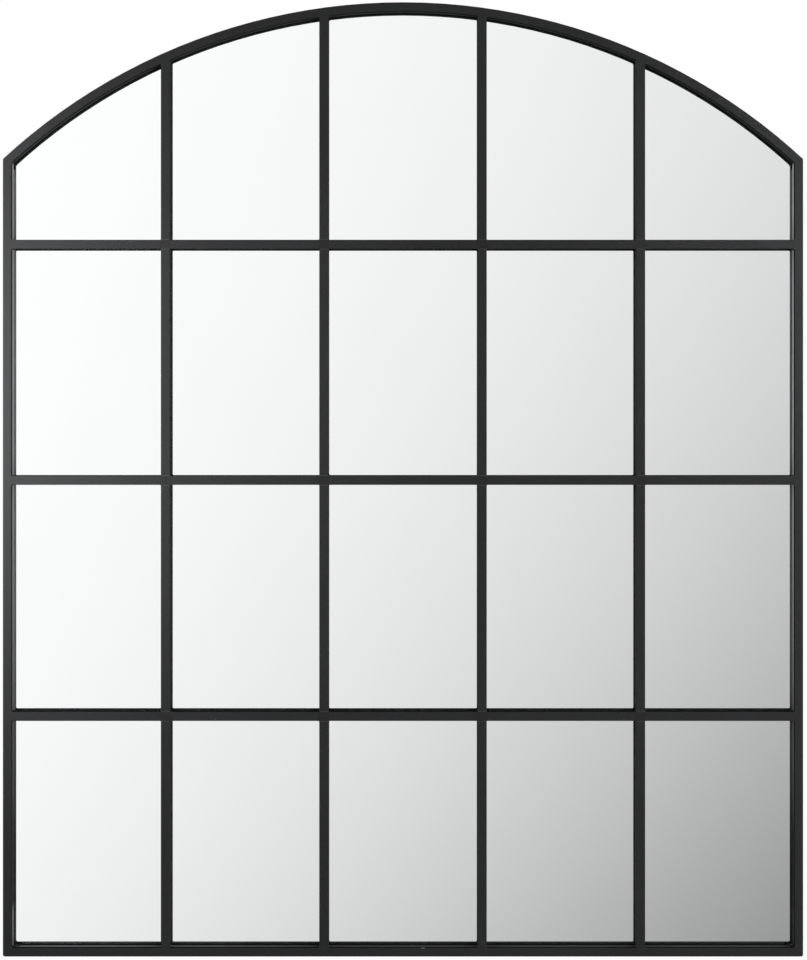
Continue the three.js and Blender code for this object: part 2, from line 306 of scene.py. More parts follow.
paint = {
    "colour": (0.0118, 0.0122, 0.0132, 1),
    "worn": (0.0185, 0.019, 0.0202, 1),
    "dust": (0.075, 0.074, 0.071, 1),
    "primer": (0.3, 0.3, 0.29, 1),
    "roughness": 0.6,
    "weldSmoother": 0.08,
    "specular": 0.22,
    "grainSize": 0.55 * mm,
    "grainDepth": 0.06 * mm,
    # Walls between the fronts and the glass. Their upper parts and feet carry painted light, at levels
    # that differ from side to side as the light falls.
    "backs": (0.02, 0.0202, 0.021, 1),  # of the bars, which face the glass
    "leftBarWallLight": (0.034, 0.035, 0.036, 1),
    "rightBarWallLight": (0.075, 0.076, 0.078, 1),
    "footReach": 4.7 * mm,  # how far in front of the glass the foot of a wall begins
    "barFoot": (0.013, 0.0135, 0.014, 1),
    "archFootLight": (0.055, 0.056, 0.058, 1),
    "railFootLight": (0.1, 0.102, 0.104, 1),
    "leftRailFootLight": (0.26, 0.264, 0.268, 1),
    "leftStileFootLight": (0.38, 0.388, 0.393, 1),
    "rightStileFootLight": (0.85, 0.86, 0.87, 1),
    # Crossings of the bars, where the weld is ground flush.
    "dressedReach": 2.2 * mm,
    "dressed": (0.006, 0.006, 0.006, 1),
    "seam": (0.3, 0.303, 0.31, 1),
    "seamOff": 0.4 * mm,  # from the side of a bar
    # Only crossings within this of the middle, and between these heights, are dressed.
    "dressedHalf": 0.35,
    "dressedHeights": (0.1, barZ[2] + 0.05),
    "dressedFade": 0.01,
    # Spots where the coat is chipped or starved, as (x, y, z, radius, stretch along x).
    "chips": [
        (0.0005, frontY, 19.3 * mm, 0.5 * mm, 1.0),
        (0.0230, frontY + 0.6 * mm, 9.9 * mm, 0.7 * mm, 3.4),
        (-0.3846, -7 * mm, 0.9440, 1.1 * mm, 1.0),
        (-0.4456, -5 * mm, 11.5 * mm, 0.8 * mm, 1.4),
        (0.4450, -5.5 * mm, 12.0 * mm, 0.7 * mm, 1.0),
        (-0.2140, frontY, 0.2714, 0.35 * mm, 1.3),
        (0.3090, frontY, 0.5462, 0.3 * mm, 1.0),
        (0.4552, 2 * mm, 0.3310, 0.9 * mm, 0.6),
        (-0.4560, 6 * mm, 0.1200, 1.1 * mm, 0.5),
    ],
    "chipRagged": 1500.0,
}


def chips(s, place):
    ragged = s.noise(place, paint["chipRagged"], 3.0, 0.7)
    whole = None
    for x, y, z, radius, stretch in paint["chips"]:
        moved = s.vector("SUBTRACT", place, (x, y, z))
        far = s.vector("LENGTH", s.stretched(moved, (1 / stretch, 1, 1)), output="Value")
        spot = s.falling(far + (ragged - 0.5) * radius, radius * 0.75, radius)
        whole = spot if whole is None else whole.most(spot)
    return whole


def dressedCrossings(s, x, y, z):
    # A darker, smoother patch where bars cross, and the faint lighter seam in it.
    acrossPitch, upPitch = barX[1] - barX[0], barZ[1] - barZ[0]
    fromBar = s.maths("WRAP", x - barX[0], acrossPitch / 2, -acrossPitch / 2).size()
    fromRow = s.maths("WRAP", z - barZ[0], upPitch / 2, -upPitch / 2).size()
    half, reach = barFace / 2, paint["dressedReach"]
    patch = s.falling(fromBar, half, half + reach) * s.falling(fromRow, half, half + reach)
    fade, side = paint["dressedFade"], paint["dressedHalf"]
    lowest, highest = paint["dressedHeights"]
    patch = patch * s.falling(z, highest, highest + fade) * s.ranged(z, lowest, lowest + fade)
    patch = patch * s.falling(x.size(), side, side + fade)
    patch = patch * s.falling(y, frontY + 1.5 * mm, frontY + 2.5 * mm)
    seam = s.falling((fromRow - half - paint["seamOff"]).size(), 0.25 * mm, 0.5 * mm)
    return patch, patch * seam * s.falling(fromBar, half - 0.8 * mm, half)


def glassSideWalls(s, x, y, z, turned, facing):
    # Masks for what lies between the fronts and the glass, and for the pieces that it is on.
    fromCentre = (x * x + (z - archCentreZ) * (z - archCentreZ)) ** 0.5
    inward = (halfWidth - x.size()).least(z).least(archRadius - fromCentre)
    within = s.ranged(inward, 4 * mm, 6 * mm) * s.falling(y, glassLow.y, glassLow.y + 1 * mm)
    foot = glassLow.y - paint["footReach"]
    onUpright = s.ranged(turned.size(), 0.8, 0.95)
    onStile = s.ranged(x.size(), innerHalf - 1 * mm, innerHalf - 0.5 * mm) * onUpright
    # On the stiles the painted light on the feet fades out towards the bottom.
    onStile = onStile * s.ranged(z, 0.14, 0.55, 0.03, 1.0)
    return {
        "within": within,
        "dry": within * s.falling(facing.size(), 0.1, 0.45),
        "backs": within * s.ranged(facing, 0.25, 0.6),
        "feet": s.ranged(y, foot - 1 * mm, foot + 0.6 * mm),
        "heads": s.falling(y, frontY + 6.5 * mm, frontY + 8.5 * mm),
        "onUpright": onUpright,
        "onFrame": s.falling(inward, frameFace + 0.3 * mm, frameFace + 0.6 * mm),
        "onStile": onStile,
    }


def wallTones(s, x, z, walls):
    # Painted light on the upper part and on the foot of the walls in front of the glass, at levels that
    # differ from place to place as the light falls.
    head = s.mixed(s.ranged(x, -0.2, 0.2), paint["leftBarWallLight"], paint["rightBarWallLight"])
    rail = s.mixed(s.ranged(x, -0.4, -0.1), paint["leftRailFootLight"], paint["railFootLight"])
    rail = s.mixed(s.ranged(z, 0.05, 0.06), rail, paint["archFootLight"])
    stile = s.mixed(s.ranged(x, -0.1, 0.1), paint["leftStileFootLight"], paint["rightStileFootLight"])
    foot = s.mixed(walls["onFrame"], paint["barFoot"], rail)
    return head, s.mixed(walls["onStile"], foot, stile)


def framePaintMaterial(name, roughness, lumps):
    # Satin powder coat: a fine orange peel, slow drifts in gloss, a little dust on what faces up.
    # Between the bars' fronts and the glass the powder lands dry, so those walls are dead matt, and their
    # upper parts and feet carry painted light.
    made, s = material(name)
    place = s.place()
    x, y, z = s.axes(place)
    turned, facing, up = s.axes(s.normal())
    peel = s.noise(place, 1 / paint["grainSize"], 2.0, 0.6)
    drift = s.noise(place, 9.0, 3.0, 0.6)
    streak = s.noise(s.stretched(place, (60, 60, 4)), 1.0, 2.0)
    walls = glassSideWalls(s, x, y, z, turned, facing)
    dressed, seam = dressedCrossings(s, x, y, z)
    patchy = s.ranged(s.noise(place, 70.0, 4.0, 0.7), 0.4, 0.75)
    settled = s.ranged(up, 0.5, 1.0, smooth=True) * patchy * (1.0 - walls["within"])
    specks = s.falling(s.cells(place, 260.0), 0.02, 0.055) * s.ranged(drift, 0.42, 0.6)
    head, foot = wallTones(s, x, z, walls)
    tone = s.mixed(s.ranged(drift, 0.3, 0.75), paint["colour"], paint["worn"])
    tone = s.mixed((settled * 0.4 + specks * 0.25).least(1.0), tone, paint["dust"])
    tone = s.mixed(dressed * 0.5, tone, paint["dressed"])
    tone = s.mixed(seam * 0.16, tone, paint["seam"])
    # Painted light on the feet of the walls, next to the glass.
    tone = s.mixed(walls["dry"] * walls["feet"], tone, foot)
    # Painted light on the front parts of the vertical bars' side walls.
    barHead = walls["dry"] * walls["onUpright"] * (1.0 - walls["onFrame"]) * walls["heads"]
    tone = s.mixed(barHead, tone, head)
    tone = s.mixed(chips(s, place), tone, paint["primer"])
    tone = s.mixed(walls["backs"], tone, paint["backs"])
    gloss = roughness + (drift - 0.5) * 0.16 + (streak - 0.5) * 0.06 + settled * 0.2 - dressed * 0.08
    bump = s.bumped(peel + lumps * s.noise(place, 420.0, 2.0), 0.35, paint["grainDepth"])
    satin = s.principled(
        Base_Color=tone, Roughness=gloss, Normal=bump, Specular_IOR_Level=paint["specular"]
    )
    matt = s.principled(Base_Color=tone, Roughness=1.0, Normal=bump, Specular_IOR_Level=0.0)
    s.finish(s.mixedShader(walls["dry"], satin, matt))
    return made


framePaint = framePaintMaterial("framePaint", paint["roughness"], 0.4)
weldPaint = framePaintMaterial("weldPaint", paint["roughness"] - paint["weldSmoother"], 1.6)


silvering = {
    "clear": (0.955, 0.962, 0.965, 1),
    "hazy": (0.94, 0.948, 0.95, 1),
    "roughness": (0.006, 0.018),  # clear and hazy
}


def mirrorSilverMaterial():
    # Silvering seen through glass: a true mirror with the faintest haze.
    made, s = material("mirrorSilver")
    haze = s.ranged(s.noise(s.place(), 5.0, 4.0, 0.6), 0.45, 0.8)
    s.surface(
        Base_Color=s.mixed(haze, silvering["clear"], silvering["hazy"]),
        Metallic=1.0,
        Roughness=s.ranged(haze, 0.0, 1.0, *silvering["roughness"]),
    )
    return made


rim = {
    "arris": ((0.4, 0.43, 0.43, 1), (0.55, 0.59, 0.59, 1)),  # the ground arris, lighter as a painted highlight, in darker and lighter grinding lines
    "sawn": ((0.06, 0.066, 0.066, 1), (0.09, 0.098, 0.098, 1)),
    "low": (0.03, 0.033, 0.033, 1),  # painted shade on the lower part of the sides
    "shaded": (0.01, 0.0115, 0.0115, 1),  # along the foot and the arch
    "lowShadeFades": (0.1, 0.35),
}


def glassEdgeMaterial():
    # The ground edge of the sheet, green-grey, with grinding lines round it; a painted highlight on the
    # arris, and painted shade on the lower sides and along the foot and the arch.
    made, s = material("glassEdge")
    place = s.place()
    _, y, z = s.axes(place)
    lines = s.noise(s.stretched(place, (300, 5000, 300)), 1.0, 2.0)
    atFoot = s.falling(z, 12 * mm, 13 * mm)
    onArchSide = s.ranged(z, springHeight - 12 * mm, springHeight - 10 * mm)
    onArris = s.falling(y, glassLow.y + 0.38 * mm, glassLow.y + 0.42 * mm)
    bright = s.mixed(onArris, s.mixed(lines, *rim["sawn"]), s.mixed(lines, *rim["arris"]))
    bright = s.mixed(s.ranged(z, *rim["lowShadeFades"]), rim["low"], bright)
    s.surface(
        Base_Color=s.mixed((atFoot + onArchSide).least(1.0), bright, rim["shaded"]),
        Roughness=s.ranged(lines, 0.2, 0.8, 0.8, 0.95),
        Normal=s.bumped(lines, 0.3, 0.05 * mm),
        Specular_IOR_Level=0.0,
    )
    return made


def backPaintMaterial():
    # Grey protective paint over the silvering.
    made, s = material("mirrorBackPaint")
    rolled = s.noise(s.place(), 400.0, 3.0)
    s.surface(
        Base_Color=s.mixed(rolled, (0.12, 0.13, 0.135, 1), (0.16, 0.17, 0.175, 1)),
        Roughness=s.ranged(rolled, 0.3, 0.7, 0.5, 0.62),
        Normal=s.bumped(rolled, 0.2, 0.05 * mm),
    )
    return made


board = {
    "dark": (0.27, 0.155, 0.075, 1),
    "light": (0.42, 0.27, 0.145, 1),
    "clouds": (0.33, 0.2, 0.1, 1),
    "flecks": (0.12, 0.065, 0.03, 1),
    "sawnEdge": (0.16, 0.09, 0.045, 1),
    "curl": 6 * mm,  # how far the fibres wander
}


def fibreboardMaterial():
    # Pressed fibre: matted flecks on the faces, a darker and fluffier sawn edge.
    made, s = material("fibreboard")
    place = s.place()
    wander = s.node("ShaderNodeTexNoise", Vector=place, Scale=160.0, Detail=2.0)
    curled = s.vector("MULTIPLY_ADD", s.value(wander, "Color"), (board["curl"],) * 3, place)
    fibres = s.noise(curled, 420.0, 5.0, 0.7)
    crossed = s.noise(s.stretched(curled, (1300, 1300, 420)), 1.0, 4.0, 0.65)
    clouds = s.noise(place, 22.0, 4.0, 0.6)
    flecks = s.falling(s.cells(place, 420.0), 0.05, 0.22) * s.ranged(fibres, 0.45, 0.6)
    edge = s.falling(s.axes(s.normal())[1].size(), 0.5, 0.9)
    grain = (fibres + crossed) * 0.5
    tone = s.mixed(s.ranged(grain, 0.35, 0.65), board["dark"], board["light"])
    tone = s.mixed(s.ranged(clouds, 0.35, 0.7) * 0.5, tone, board["clouds"])
    tone = s.mixed(flecks * 0.6, tone, board["flecks"])
    tone = s.mixed(edge * 0.6, tone, board["sawnEdge"])
    s.surface(
        Base_Color=tone,
        Roughness=s.ranged(grain, 0.3, 0.7, 0.72, 0.9) + edge * 0.05,
        Normal=s.bumped(grain + flecks * 0.4, 0.45, 0.12 * mm),
        Specular_IOR_Level=0.3,
    )
    return made


def foamTapeMaterial():
    # White foam with closed cells.
    made, s = material("foamTape")
    place = s.place()
    cells = s.cells(place, 1900.0)
    tone = s.ranged(s.noise(place, 60.0, 3.0), 0.3, 0.7)
    s.surface(
        Base_Color=s.mixed(tone, (0.66, 0.655, 0.62, 1), (0.76, 0.755, 0.72, 1)),
        Roughness=s.ranged(cells, 0.0, 0.6, 0.8, 0.95),
        Normal=s.bumped(cells, 0.5, 0.15 * mm),
    )
    return made


def zincMaterial():
    # Bright zinc plate, brushed by the driver and faintly clouded.
    made, s = material("zincScrew")
    place = s.place()
    cloud = s.noise(place, 900.0, 3.0, 0.6)
    fine = s.noise(place, 6000.0, 2.0)
    s.surface(
        Base_Color=s.mixed(cloud, (0.5, 0.51, 0.53, 1), (0.66, 0.67, 0.68, 1)),
        Metallic=1.0,
        Roughness=s.ranged(cloud, 0.3, 0.7, 0.26, 0.42),
        Normal=s.bumped(fine, 0.15, 0.02 * mm),
    )
    return made


def rubberMaterial():
    # Moulded black rubber with a grey bloom.
    made, s = material("bumperRubber")
    place = s.place()
    bloom = s.noise(place, 500.0, 3.0)
    pores = s.noise(place, 4200.0, 2.0)
    tone = s.mixed(s.ranged(bloom, 0.4, 0.7), (0.012, 0.012, 0.013, 1), (0.032, 0.031, 0.03, 1))
    s.surface(
        Base_Color=tone,
        Roughness=s.ranged(bloom, 0.3, 0.7, 0.6, 0.8),
        Normal=s.bumped(pores, 0.3, 0.05 * mm),
    )
    return made


mirrorSilver = mirrorSilverMaterial()
glassEdge = glassEdgeMaterial()
mirrorBackPaint = backPaintMaterial()
fibreboard = fibreboardMaterial()
foamTape = foamTapeMaterial()
zincScrew = zincMaterial()
bumperRubber = rubberMaterial()


def nodesNamed(start):
    return [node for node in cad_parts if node.startswith(start)]


def finishNode(node, finish):
    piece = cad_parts[node]
    piece.data.materials.clear()
    piece.data.materials.append(finish)


nodeFinishes = [
    (("arch_rail", "left_stile", "right_stile", "bottom_rail"), framePaint),
    (verticalBars, framePaint),
    (horizontalBars, framePaint),
    (nodesNamed("mounting_tape"), foamTape),
    (("back_board",), fibreboard),
    (nodesNamed("board_clip"), framePaint),
    (nodesNamed("clip_screw"), zincScrew),
    (nodesNamed("hanger_plate"), framePaint),
    (nodesNamed("bumper"), bumperRubber),
    (("mirror_glass",), mirrorSilver),
]
for names, finish in nodeFinishes:
    for node in names:
        finishNode(node, finish)
print("finishes made")


def meshOf(bm, name):
    bmesh.ops.recalc_face_normals(bm, faces=bm.faces)
    mesh = bpy.data.meshes.new(name)
    bm.to_mesh(mesh)
    bm.free()
    return mesh


def linked(name, mesh):
    piece = bpy.data.objects.new(name, mesh)
    bpy.context.scene.collection.objects.link(piece)
    return piece


def objectOf(name, mesh, finishes=()):
    # A visible piece. A mesh that geometry nodes made brings its own finish.
    piece = linked(name, mesh)
    for finish in finishes:
        mesh.materials.append(finish)
    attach(piece, "root")
    return piece


sheet = {
    "arris": 0.4 * mm,
    "sealer": 0.4 * mm,  # brushed round the silvered edge
    "sealerWide": 1.9 * mm,
    "sealerRamp": 0.3 * mm,
    "silverDepth": 2.65 * mm,  # how deep the silvering looks through 4 mm of glass
    "archSteps": 96,
}


def archedLoop(inset):
    # Outline of the sheet moved in by inset, anticlockwise from the bottom left, as (x, z).
    half = glassHigh.x - inset
    foot = glassLow.z + inset
    radius = glassHigh.z - archCentreZ - inset
    start = math.acos(half / radius)
    points = [(-half, foot), (half, foot)]
    for i in range(sheet["archSteps"] + 1):
        angle = start + (math.pi - 2 * start) * i / sheet["archSteps"]
        points.append((radius * math.cos(angle), archCentreZ + radius * math.sin(angle)))
    return points


def makeMirrorSheet():
    # The silvering is set where it appears, so the front is a shallow tray inside a ground arris.
    front, back = glassLow.y, glassHigh.y
    arris, sealer = sheet["arris"], sheet["sealer"]
    finishes = [mirrorSilver, glassEdge, mirrorBackPaint]
    silver, edge, paintedBack = range(len(finishes))
    sealed = back - sheet["sealerWide"]
    rings = [
        # inset, y, and the finish from here to the next ring
        (arris, front + sheet["silverDepth"], edge),
        (arris, front, edge),
        (0, front + arris, edge),
        (0, sealed, paintedBack),
        (-sealer, sealed + sheet["sealerRamp"], paintedBack),
        (-sealer, back - arris, paintedBack),
        (arris, back, paintedBack),
    ]
    bm = bmesh.new()
    loops = [[bm.verts.new((x, y, z)) for x, z in archedLoop(inset)] for inset, y, _ in rings]
    count = len(loops[0])
    for (_, _, finish), a, b in zip(rings, loops, loops[1:]):
        for i in range(count):
            j = (i + 1) % count
            bm.faces.new((a[i], b[i], b[j], a[j])).material_index = finish
    bm.faces.new(loops[0]).material_index = silver
    bm.faces.new(list(reversed(loops[-1]))).material_index = paintedBack
    piece = objectOf("mirrorSheet", meshOf(bm, "mirrorSheet"), finishes)
    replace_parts(piece, "mirror_glass")


makeMirrorSheet()
print("mirror sheet made")


# Welds between the members, ground flush at the front.
weld = {
    "gap": 0.3 * mm,  # that a weld fills between two members
    "tubeEdge": 1 * mm,  # rounding of the frame's edges
    "barEdge": 0.5 * mm,
    "groundCorner": 3 * mm,  # rounding of the frame's outer corners
    "overlap": 0.25 * mm,  # of a mitre's weld under the coat of each tube
    "sunk": 0.012 * mm,  # of its faces below theirs
    "legs": (1.0 * mm, 1.9 * mm),  # of the fillets left in the corners
    "crossingShare": 0.85,  # of that, where bars cross
    "footLeg": 2.3 * mm,  # of the fillets in the frame's own corners
    "springLeg": 2.1 * mm,
    "filletSunk": 0.03 * mm,
    "offGlass": 0.05 * mm,
    "steps": 6,
    "seed": 7,
}


def roundedSection(half, front, back, edge):
    # Outline of a bar as (across, y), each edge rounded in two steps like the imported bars.
    points = []
    for turn, (side, y) in enumerate(((1, front), (1, back), (-1, back), (-1, front))):
        inward = edge if turn in (0, 3) else -edge
        for step in range(3):
            angle = math.pi / 2 * (turn - 1 + step / 2)
            across = side * (half - edge) + edge * math.cos(angle)
            points.append((across, y + inward + edge * math.sin(angle)))
    return points


def loft(bm, loops):
    rings = [[bm.verts.new(p) for p in loop] for loop in loops]
    count = len(rings[0])
    for a, b in zip(rings, rings[1:]):
        for i in range(count):
            j = (i + 1) % count
            bm.faces.new((a[i], a[j], b[j], b[i]))
    bm.faces.new(list(reversed(rings[0])))
    bm.faces.new(rings[-1])


def fillMitre(bm, outer, inner, directions, ground):
    # The weld in the gap of a mitre, inside which the two tubes end square to the mitre's line.
    outer, inner, ground = Vector(outer), Vector(inner), Vector(ground)
    line = (inner - outer).normalized()
    sunk = weld["sunk"]
    radius = weld["groundCorner"] - sunk
    section = roundedSection(frameFace / 2 - sunk, frontY + sunk, backY - sunk, weld["tubeEdge"])
    loops = []
    for direction in directions:
        direction = Vector(direction).normalized()
        drop = abs(line.x * direction.y - line.y * direction.x)
        shift = direction * ((weld["gap"] / 2 + weld["overlap"]) / drop)
        loop = []
        for across, y in section:
            inset = across + frameFace / 2
            place = outer.lerp(inner, inset / frameFace) + shift
            away = place - ground
            if inset < weld["groundCorner"] and away.length > radius:
                place = ground + away.normalized() * radius
            loop.append((place.x, y, place.y))
        loops.append(loop)
    loft(bm, loops)


def fillUpright(bm, x, back, near, far):
    # Weld that fills a joint of the vertical bar at x, between two heights that may change across it.
    section = roundedSection(barFace / 2, frontY, back, weld["barEdge"])
    loft(bm, [[(x + across, y, reach(x + across)) for across, y in section] for reach in (near, far)])


def fillLevel(bm, z, near, far):
    # The same for the horizontal bar at z.
    section = roundedSection(barFace / 2, frontY, barBackY, weld["barEdge"])
    loft(bm, [[(reach, y, z + across) for across, y in section] for reach in (near, far)])


def cutBack(edge, depth):
    # How far a rounded edge stands back from its side wall, at a depth behind the front.
    return edge - math.sqrt(edge**2 - (edge - depth) ** 2) if depth < edge else 0.0


def cornerFillet(bm, corner, first, second, leg, back, edges):
    # A fillet in the corner of two walls that run off in two directions.
    corner, first, second = Vector(corner), Vector(first).normalized(), Vector(second).normalized()
    sunk = weld["filletSunk"]
    depths = sorted({0.0, 0.3 * edges[0], edges[0], 0.3 * edges[1], edges[1], back - frontY})
    loops = []
    for depth in depths:
        cuts = [cutBack(edge, depth) for edge in edges]
        hidden = corner - second * max(cuts[0], sunk) - first * max(cuts[1], sunk)
        loop = [(hidden.x, frontY + depth, hidden.y)]
        for i in range(weld["steps"] + 1):
            t = i / weld["steps"]
            p = corner + first * (leg * (1 - t) ** 2) + second * (leg * t**2)
            p = p - second * ((1 - t) * (cuts[0] + sunk)) - first * (t * (cuts[1] + sunk))
            loop.append((p.x, frontY + depth, p.y))
        loops.append(loop)
    loft(bm, loops)


def makeGroundWelds():
    bm = bmesh.new()
    inset, gap, edge = weld["groundCorner"], weld["gap"], weld["tubeEdge"]
    for side in (1, -1):
        foot = (side * (halfWidth - inset), inset)
        outer, inner = (side * halfWidth, 0), (side * innerHalf, frameFace)
        fillMitre(bm, outer, inner, ((0, 1), (-side, 0)), foot)
        outer = (side * halfWidth, springHeight)
        inner = (side * innerHalf, onArch(frameFace, innerHalf))
        along = (-side * (springHeight - archCentreZ), halfWidth)
        ground = (side * (halfWidth - inset), onArch(inset, halfWidth - inset))
        fillMitre(bm, outer, inner, ((0, -1), along), ground)
    for x in barX:
        fillUpright(bm, x, barBackY, lambda u: frameFace + gap, lambda u: frameFace - edge)
        fillUpright(
            bm, x, barBackY, lambda u: onArch(frameFace + gap, u), lambda u: onArch(frameFace - edge, u)
        )
        halved = (frontY + barBackY) / 2 - gap / 3
        for z in barZ:
            for side in (1, -1):
                near = z + side * (barFace / 2 + gap)
                far = z + side * (barFace / 2 - weld["barEdge"])
                fillUpright(bm, x, halved, lambda u: near, lambda u: far)
    for z in barZ:
        for side in (1, -1):
            fillLevel(bm, z, side * (innerHalf - gap), side * (innerHalf + edge))
    objectOf("groundWelds", meshOf(bm, "groundWelds"), [framePaint])


def makeCornerFillets():
    bm = bmesh.new()
    draw = random.Random(weld["seed"])
    barEdge, tubeEdge, half = weld["barEdge"], weld["tubeEdge"], barFace / 2
    bars, ends, tubes = (barEdge, barEdge), (tubeEdge, barEdge), (tubeEdge, tubeEdge)
    for x in barX:
        for side in (1, -1):
            u = x + side * half
            leg = draw.uniform(*weld["legs"])
            cornerFillet(bm, (u, frameFace), (side, 0), (0, 1), leg, barBackY, ends)
            top = onArch(frameFace, u)
            along = (side * (top - archCentreZ), -side * u)
            leg = draw.uniform(*weld["legs"])
            cornerFillet(bm, (u, top), along, (0, -1), leg, barBackY, ends)
            for z in barZ:
                for up in (1, -1):
                    place = (u, z + up * half)
                    leg = draw.uniform(*weld["legs"]) * weld["crossingShare"]
                    cornerFillet(bm, place, (side, 0), (0, up), leg, barBackY, bars)
    for z in barZ:
        for side in (1, -1):
            for up in (1, -1):
                place = (side * innerHalf, z + up * half)
                leg = draw.uniform(*weld["legs"])
                cornerFillet(bm, place, (0, up), (-side, 0), leg, barBackY, ends)
    back = glassLow.y - weld["offGlass"]
    top = onArch(frameFace, innerHalf)
    for side in (1, -1):
        foot, spring = (side * innerHalf, frameFace), (side * innerHalf, top)
        along = (-side * (top - archCentreZ), innerHalf)
        cornerFillet(bm, foot, (-side, 0), (0, 1), weld["footLeg"], back, tubes)
        cornerFillet(bm, spring, (0, -1), along, weld["springLeg"], back, tubes)
    objectOf("cornerFillets", meshOf(bm, "cornerFillets"), [weldPaint])


makeGroundWelds()
makeCornerFillets()
print("front welds made")


class Tree:
    # A geometry node group under construction.
    def __init__(self, name):
        self.tree = bpy.data.node_groups.new(name, "GeometryNodeTree")
        self.tree.interface.new_socket("Geometry", in_out="INPUT", socket_type="NodeSocketGeometry")
        self.tree.interface.new_socket("Geometry", in_out="OUTPUT", socket_type="NodeSocketGeometry")
        self.named = {}

    def wanted(self, name, kind, value):
        socket = self.tree.interface.new_socket(name, in_out="INPUT", socket_type=kind)
        self.named[name] = (socket.identifier, value)

    def set(self, name, value):
        self.named[name] = (self.named[name][0], value)

    def begin(self):
        return self.node("NodeGroupInput").outputs

    def node(self, kind, settings=None, **values):
        made = self.tree.nodes.new(kind)
        for name, setting in (settings or {}).items():
            setattr(made, name, setting)
        for name, value in values.items():
            socket = made.inputs[socketKey(name)]
            if isinstance(value, bpy.types.NodeSocket):
                self.tree.links.new(value, socket)
            else:
                socket.default_value = value
        return made

    def finish(self, geometry, finish):
        whole = self.node("GeometryNodeRealizeInstances", i0=geometry)
        painted = self.node("GeometryNodeSetMaterial", Geometry=whole.outputs[0], Material=finish)
        self.node("NodeGroupOutput", i0=painted.outputs[0])

    def grown(self, name, seedMesh):
        # The plain mesh that the group makes of a mesh.
        holder = linked(name + "Seed", seedMesh)
        modifier = holder.modifiers.new(name, "NODES")
        modifier.node_group = self.tree
        for identifier, value in self.named.values():
            modifier[identifier] = value
        evaluated = holder.evaluated_get(bpy.context.evaluated_depsgraph_get())
        mesh = bpy.data.meshes.new_from_object(evaluated)
        mesh.name = name
        holder.modifiers.clear()
        bpy.data.objects.remove(holder)
        return mesh


# Beads that weld the clips and hanger plates on, and lumps in the frame's inner corners.
bead = {
    "width": 1.7 * mm,
    "ripple": 0.55 * mm,  # from one ripple to the next
    "flatness": 0.75,
    "sizes": (0.82, 1.12),  # least and most, as a share of the width
    "turn": 0.3,  # radians each ripple may be turned
    "sizeSeed": 3,
    "turnSeed": 5,
    "clipWidth": 20 * mm,
    "clipOff": 0.3 * mm,  # from the wall
    "clipStart": 3 * mm,  # behind the front of the clip
    "plateStitch": 15 * mm,
    "plateOff": 0.2 * mm,
    "plateEnd": 3 * mm,  # from the end of the plate
    "lump": 2.1 * mm,
    # Runs of lumps in each lower corner, in mm: off the stile, above the rail, behind the front, length.
    "cornerRuns": ((0.6, 0.7, 6.5, 2.6), (1.0, 0.5, 8.6, 6.4), (1.2, 1.6, 8.8, 3.6)),
}


def clipWall(name):
    # Middle of the wall that a clip is welded to, and the direction from it into the room.
    low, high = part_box(f"clip_screw_{name}")
    middle = (low + high) / 2
    place = name.split("_")[0]
    if place == "left":
        return Vector((-innerHalf, 0, middle.z)), Vector((1, 0, 0))
    if place == "right":
        return Vector((innerHalf, 0, middle.z)), Vector((-1, 0, 0))
    if place == "bottom":
        return Vector((middle.x, 0, frameFace)), Vector((0, 0, 1))
    centre = Vector((0, 0, archCentreZ))
    out = (centre - Vector((middle.x, 0, middle.z))).normalized()
    return centre - out * (archRadius - frameFace), out


def beadPaths():
    # Start and end of each bead.
    paths = []
    for name in clipNames:
        low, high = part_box(f"board_clip_{name}")
        wall, out = clipWall(name)
        along = out.cross(Vector((0, 1, 0)))
        for side in (1, -1):
            edge = wall + along * (side * bead["clipWidth"] / 2) + out * bead["clipOff"]
            start = edge + Vector((0, low.y + bead["clipStart"], 0))
            paths.append((start, edge + Vector((0, high.y, 0))))
    for side, turn in (("left", -1), ("right", 1)):
        low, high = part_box(f"hanger_plate_{side}")
        x = turn * (innerHalf - bead["plateOff"])
        for end, step in ((low.z + bead["plateEnd"], 1), (high.z - bead["plateEnd"], -1)):
            start = Vector((x, low.y + bead["plateOff"], end))
            paths.append((start, start + Vector((0, 0, step * bead["plateStitch"]))))
    return paths


def cornerPaths():
    # Lumps of weld that stand in the frame's inner corners, in front of the glass.
    paths = []
    for side in (1, -1):
        for off, up, behind, long in bead["cornerRuns"]:
            x = side * (innerHalf - off * mm)
            start = Vector((x, frontY + behind * mm, frameFace + up * mm))
            paths.append((start, start + Vector((-side * long * mm, 0.3 * mm, -0.3 * mm))))
        x = side * (innerHalf - 0.6 * mm)
        z = onArch(frameFace, innerHalf) - 0.1 * mm
        paths.append((Vector((x, frontY + 8 * mm, z)), Vector((x, glassLow.y - 0.7 * mm, z))))
    return paths


def pathMesh(paths):
    mesh = bpy.data.meshes.new("beadPaths")
    places = [tuple(p) for path in paths for p in path]
    mesh.from_pydata(places, [(2 * i, 2 * i + 1) for i in range(len(paths))], [])
    return mesh


